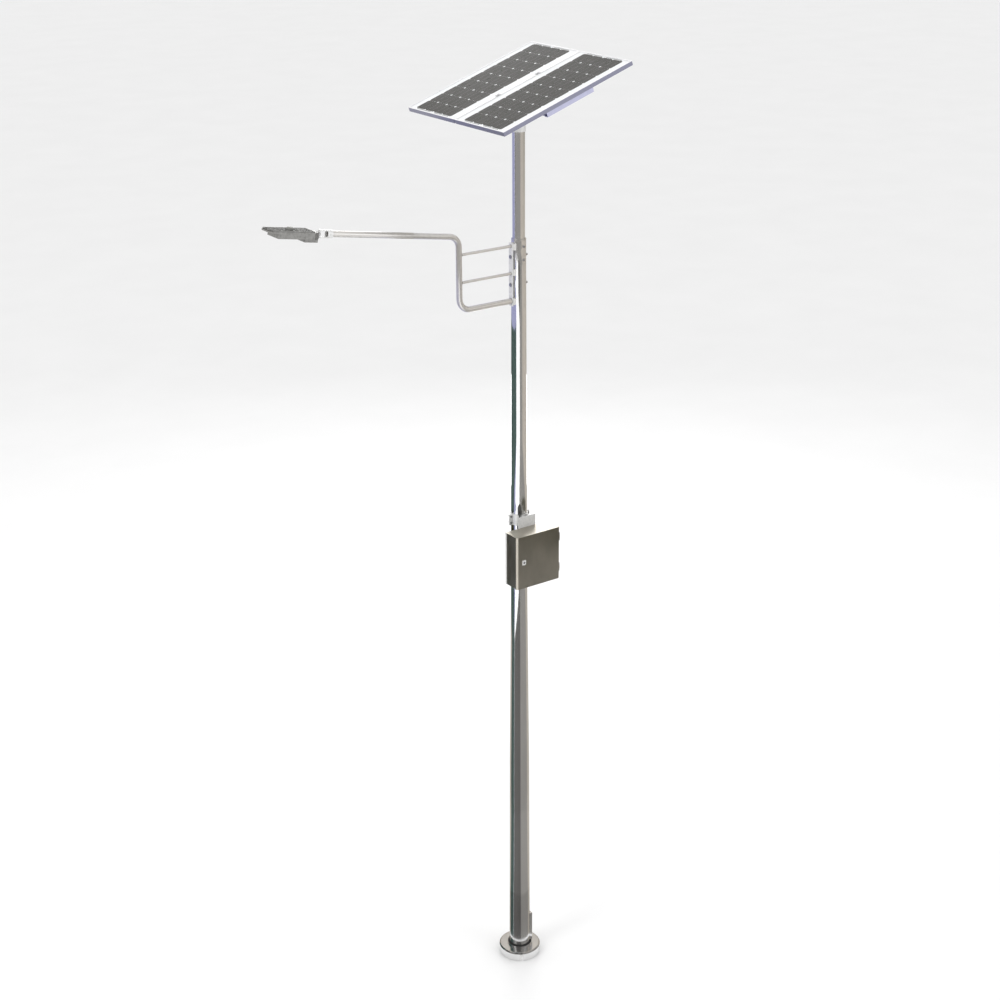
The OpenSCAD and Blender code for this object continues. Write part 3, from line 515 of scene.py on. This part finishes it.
UP = Vector((0, 0, 1))
OUTWARD = Vector((-1, 0, 0))
PLATE_FACE = -0.0805
RUNG_ZS = (6.578, 6.804)
ARM_RUN_Z = 6.349
ARM_BOLT_ZS = (6.485, 6.716)
SET_BOLT_ZS = (6.690, 6.800)
SET_BOLT_TURNS = (-83, 7)
SET_BOLT_SEAT = 0.062


def weld_beads():
    """Beads round the rungs' and the arm's ends, and round the pole's cap and the upper post."""
    bm = bmesh.new()
    for z in RUNG_ZS:
        add_ring(bm, 0.0125, 0.0022, 40, along((-ARM_REACH + 0.0235, 0, z), OUTWARD), 0.5)
        add_ring(bm, 0.0125, 0.0022, 40, along((PLATE_FACE, 0, z), OUTWARD), 0.5)
    add_ring(bm, 0.0246, 0.0026, 56, along((PLATE_FACE, 0, ARM_RUN_Z), OUTWARD), 0.5)
    piece("arm_welds", bm, "arm_steel", "pole", WELD)
    bm = bmesh.new()
    add_ring(bm, 0.0512, 0.0022, 96, along((0, 0, 6.8592), UP), 0.4)
    add_ring(bm, 0.0593, 0.0015, 96, along((0, 0, 6.851), UP), 0.4)
    piece("cap_welds", bm, "galvanised_pole", "pole", WELD)


def washers():
    """Washers under the arm's through bolts and the set bolts."""
    bm = bmesh.new()
    washer = [(0, -0.001), (0.0155, -0.001), (0.0165, 0.0004), (0.0155, 0.0018), (0, 0.0018)]
    for z in ARM_BOLT_ZS:
        add_lathe(bm, washer, 40, along((-0.0812, 0, z), OUTWARD))
    piece("arm_washers", bm, "fasteners", "pole")
    bm = bmesh.new()
    washer = [(0, -0.0022), (0.0105, -0.0022), (0.0112, -0.001), (0.0105, 0), (0, 0)]
    for z in SET_BOLT_ZS:
        for turn in SET_BOLT_TURNS:
            a = math.radians(turn)
            out = Vector((math.cos(a), math.sin(a), 0))
            add_lathe(bm, washer, 32, along(out * SET_BOLT_SEAT + UP * z, out))
    piece("set_bolt_washers", bm, "fasteners", "pole")


weld_beads()
washers()


# ---------------------------------------------------------------- battery box details

TRIM_X, TRIM_T = 0.2226, 0.0014
RIVET_XS = (-0.1645, -0.1375)
RIVET_ZS = (4.1265, 4.1665)
ESCUTCHEON_FACE = -0.2880


def box_details():
    """Bare trims at the rear corners of the box, and the rivets of the lock's escutcheon."""
    bm = bmesh.new()
    for s in (-1, 1):
        x0, x1 = sorted((s * TRIM_X, s * (TRIM_X - TRIM_T)))
        add_box(bm, (x0, -0.132, 3.915), (x1, -0.114, 4.378))
    piece("box_rear_trims", bm, "galvanised_fittings", "pole", smooth=False)
    bm = bmesh.new()
    rivet = dome_profile(0.0022, 0.0008, 4)
    for z in RIVET_ZS:
        for x in RIVET_XS:
            add_lathe(bm, rivet, 16, along((x, ESCUTCHEON_FACE, z), (0, -1, 0)))
    piece("escutcheon_rivets", bm, "fasteners", "box_door")


box_details()


# ---------------------------------------------------------------- LED head details

BOARD_Z = -0.0171
BOARD_X0, BOARD_X1, BOARD_W = -0.358, -0.148, 0.142
LENS_COLS, LENS_ROWS = 6, 4
PHOTOCELL_X, PHOTOCELL_CLEAR = -0.233, 0.034
RIB_COUNT, RIB_X, RIB_PITCH = 9, -0.150, 0.028
RIB_Y, RIB_HALF = 0.052, 0.018


def head_details():
    """Cross ribs between the fins, clear of the photocell, and the screws on the rear deck."""
    bm = bmesh.new()
    for k in range(RIB_COUNT):
        x = RIB_X - k * RIB_PITCH
        if abs(x - PHOTOCELL_X) < PHOTOCELL_CLEAR:
            continue
        for y in (-RIB_Y, RIB_Y):
            add_box(bm, (x - 0.001, y - RIB_HALF, 0.0188), (x + 0.001, y + RIB_HALF, 0.0242))
    piece("head_cross_ribs", bm, "head_casting", "lamp_head", smooth=False, place=HEAD_PLACE)
    bm = bmesh.new()
    screw = [(0, 0.019), (0.0045, 0.019), (0.0045, 0.0212), (0.0035, 0.0222), (0, 0.0222)]
    for x in (-0.03, -0.052):
        for y in (-0.04, 0.04):
            add_lathe(bm, screw, 24, Matrix.Translation((x, y, 0)))
    piece("head_screws", bm, "fasteners", "lamp_head", place=HEAD_PLACE)


def led_optics():
    """Domed lenses over the LED chips, in place of the plain cones."""
    bm = bmesh.new()
    chips = bmesh.new()
    dome = dome_profile(0.0098, -0.0062, 6)
    for i in range(LENS_COLS):
        for j in range(LENS_ROWS):
            x = BOARD_X0 + 0.022 + i * (BOARD_X1 - BOARD_X0 - 0.044) / (LENS_COLS - 1)
            y = -BOARD_W / 2 + 0.020 + j * (BOARD_W - 0.040) / (LENS_ROWS - 1)
            add_lathe(bm, dome, 28, Matrix.Translation((x, y, BOARD_Z)))
            add_box(chips, (x - 0.0022, y - 0.0022, BOARD_Z - 0.0003), (x + 0.0022, y + 0.0022, BOARD_Z))
    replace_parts(piece("led_lens_domes", bm, "lens_clear", "lamp_head", place=HEAD_PLACE), "led_lenses")
    yellow = plastic("phosphor", (0.85, 0.65, 0.12), 0.4)
    piece("led_chips", chips, "circuit_board", "lamp_head", yellow, smooth=False, place=HEAD_PLACE)


head_details()
led_optics()


# ---------------------------------------------------------------- edges of carried-over nodes

EDGE_WIDTHS = {
    "box_door": 0.0022, "box_body": 0.0012, "lock_escutcheon": 0.0015, "handhole_door": 0.0012,
    "handhole_lip": 0.0018, "box_clamps": 0.0010, "arm_plate": 0.0012,
    "head_housing": 0.0016, "head_fins": 0.0004, "gear_cover": 0.0022, "photocell": 0.0014,
    "spigot_yoke": 0.0012, "module_frames": 0.0006, "end_rails": 0.0012, "cross_beams": 0.0012,
    "tilt_bracket": 0.0014, "post_sleeve": 0.0012, "base_flange": 0.0018, "base_gussets": 0.0010,
    "cable_cowl": 0.0016, "battery_pack": 0.0030, "charge_controller": 0.0010, "junction_boxes": 0.0015,
    "pole_bolts": 0.0006, "box_clamp_bolts": 0.0005, "sleeve_bolts": 0.0006,
    "tilt_pin": 0.0008, "base_cover_straps": 0.0006, "battery_tray": 0.0006, "equipment_plate": 0.0006,
    "led_driver": 0.0012, "module_clamps": 0.0006, "pole_cap": 0.0008, "battery_strap": 0.0004,
}
for node, width in EDGE_WIDTHS.items():
    round_edges(node, width)


# ---------------------------------------------------------------- camera, light and floor

# The floor is so wide that its edge is the horizon, and lies just under the base
FLOOR_RADIUS = 160
FLOOR_Z = -0.002
WORLD_STRENGTH = 0.95
CARD_STEPS = 12


def camera():
    data = bpy.data.cameras.new("camera")
    data.lens = LENS_MM
    data.sensor_width = SENSOR_MM
    data.clip_end = 400.0
    cam = bpy.data.objects.new("camera", data)
    bpy.context.scene.collection.objects.link(cam)
    right = CAMERA_FORWARD.cross(UP).normalized()
    up = right.cross(CAMERA_FORWARD).normalized()
    c, s = math.cos(CAMERA_ROLL), math.sin(CAMERA_ROLL)
    r2, u2 = right * c + up * s, up * c - right * s
    back = -CAMERA_FORWARD.normalized()
    turn = Matrix((r2, u2, back)).transposed().to_4x4()
    cam.matrix_world = Matrix.Translation(CAMERA_AT) @ turn
    bpy.context.scene.camera = cam


def area_light(name, at, target, size, power, color=(1, 1, 1)):
    data = bpy.data.lights.new(name, "AREA")
    data.shape = "RECTANGLE"
    data.size, data.size_y = size
    data.energy = power
    data.color = color
    light = bpy.data.objects.new(name, data)
    bpy.context.scene.collection.objects.link(light)
    light.matrix_world = along(at, Vector(at) - Vector(target))


def studio():
    world = bpy.data.worlds.new("studio")
    bpy.context.scene.world = world
    world.use_nodes = True
    background = world.node_tree.nodes["Background"]
    background.inputs["Color"].default_value = (1, 1, 1, 1)
    background.inputs["Strength"].default_value = WORLD_STRENGTH
    floor = Shader("studio_floor", (0.9, 0.9, 0.9), 0.9)
    floor.color(floor.ramp(floor.noise(0.7), [(0.3, (0.89, 0.89, 0.89)), (0.7, (0.91, 0.91, 0.91))]))
    bm = bmesh.new()
    bmesh.ops.create_circle(bm, cap_ends=True, segments=96, radius=FLOOR_RADIUS)
    ground = made_object("floor", bm, floor.mat)
    ground.location.z = FLOOR_Z


def flags(colors, rows):
    """Curved cards round the pole that show in reflections only, one for each (colour, glow).

    A row is a height, a radius and each card's starting angle, in degrees from the camera. One
    more angle at a row's end closes the last card, which otherwise runs on to the first.
    """
    for n, (color, glow) in enumerate(colors):
        s = Shader("flag_%d" % n, color, 0.9, Specular_IOR_Level=0.0, Emission_Strength=glow)
        s.color(s.ramp(s.noise(0.5), [(0.3, shade(color, 0.95)), (0.7, shade(color, 1.05))]))
        s.set("Emission Color", (*color, 1))
        bm = bmesh.new()
        grid = []
        for height, radius, starts in rows:
            first = starts[n]
            last = starts[n + 1] if n + 1 < len(starts) else starts[0] + 360
            turns = [first + (last - first) * k / CARD_STEPS for k in range(CARD_STEPS + 1)]
            grid.append([bm.verts.new(around(turn, radius, height)) for turn in turns])
        for low, high in zip(grid, grid[1:]):
            for k in range(CARD_STEPS):
                bm.faces.new((low[k], low[k + 1], high[k + 1], high[k]))
        card = made_object(s.mat.name, bm, s.mat)
        card.visible_camera = card.visible_diffuse = False
        card.visible_shadow = card.visible_transmission = False


def around(degrees, distance, z=0.0):
    """A place round the pole; 0 is towards the camera and 90 to the picture's right."""
    towards = math.atan2(CAMERA_AT[1], CAMERA_AT[0])
    a = towards + math.radians(degrees)
    return (distance * math.cos(a), distance * math.sin(a), z)


camera()
studio()
area_light("key", around(-50, 16, 16), (0, 0, 5), (6, 6), 700, (1.0, 0.99, 0.97))
area_light("fill", around(60, 15, 9), (0, 0, 4), (7, 7), 250, (0.93, 0.95, 1.0))

# Upright bands for the pole: green black, lilac, white, dark grey, mid grey and beige
FLAG_COLORS = [
    ((0.085, 0.125, 0.115), 0.0), ((0.40, 0.41, 0.62), 0.0), ((1.0, 1.0, 1.0), 0.5),
    ((0.15, 0.145, 0.14), 0.0), ((0.32, 0.31, 0.295), 0.0), ((0.52, 0.475, 0.42), 0.0)]
# The bands' starting angles, from the pole's foot up to the upper post
FOOT = (-113, -66, -65, -64, 12, 100)
WAIST = (-180, -74, -52, 4, 10, 90)
SHAFT = (-180, -36, -35, 11, 12, 50)
CROWN = (-180, -179, -38, -11, 23, 50)
POST = (-180, -179, -74, -72, -60, 31)
flags(FLAG_COLORS, [
    (0.0, 0.33, FOOT), (0.5, 0.33, FOOT), (1.0, 1.0, FOOT), (2.85, 1.0, FOOT),
    (3.5, 1.0, WAIST), (4.3, 1.0, WAIST), (4.8, 1.0, SHAFT), (5.9, 1.0, SHAFT),
    (6.2, 1.0, CROWN), (6.45, 1.0, CROWN), (6.6, 1.0, POST), (7.6, 1.0, POST)])

# Cards for the box: a dark one for the top of its door, a bright one for its roof, a dark one for its side
flags([((0.10, 0.095, 0.07), 0.0)], [(3.95, 0.98, (35, 105)), (4.22, 0.98, (35, 105))])
flags([((1.0, 1.0, 1.0), 1.8)], [(4.35, 0.97, (145, 215)), (5.4, 0.97, (145, 215))])
flags([((0.05, 0.042, 0.02), 0.0)], [(3.45, 0.97, (-140, -82)), (4.12, 0.97, (-140, -82))])
area_light("back", (7.4, 10.7, 10.2), (0, 0, 4.2), (6, 6), 420)
bpy.context.scene.view_settings.view_transform = "Standard"
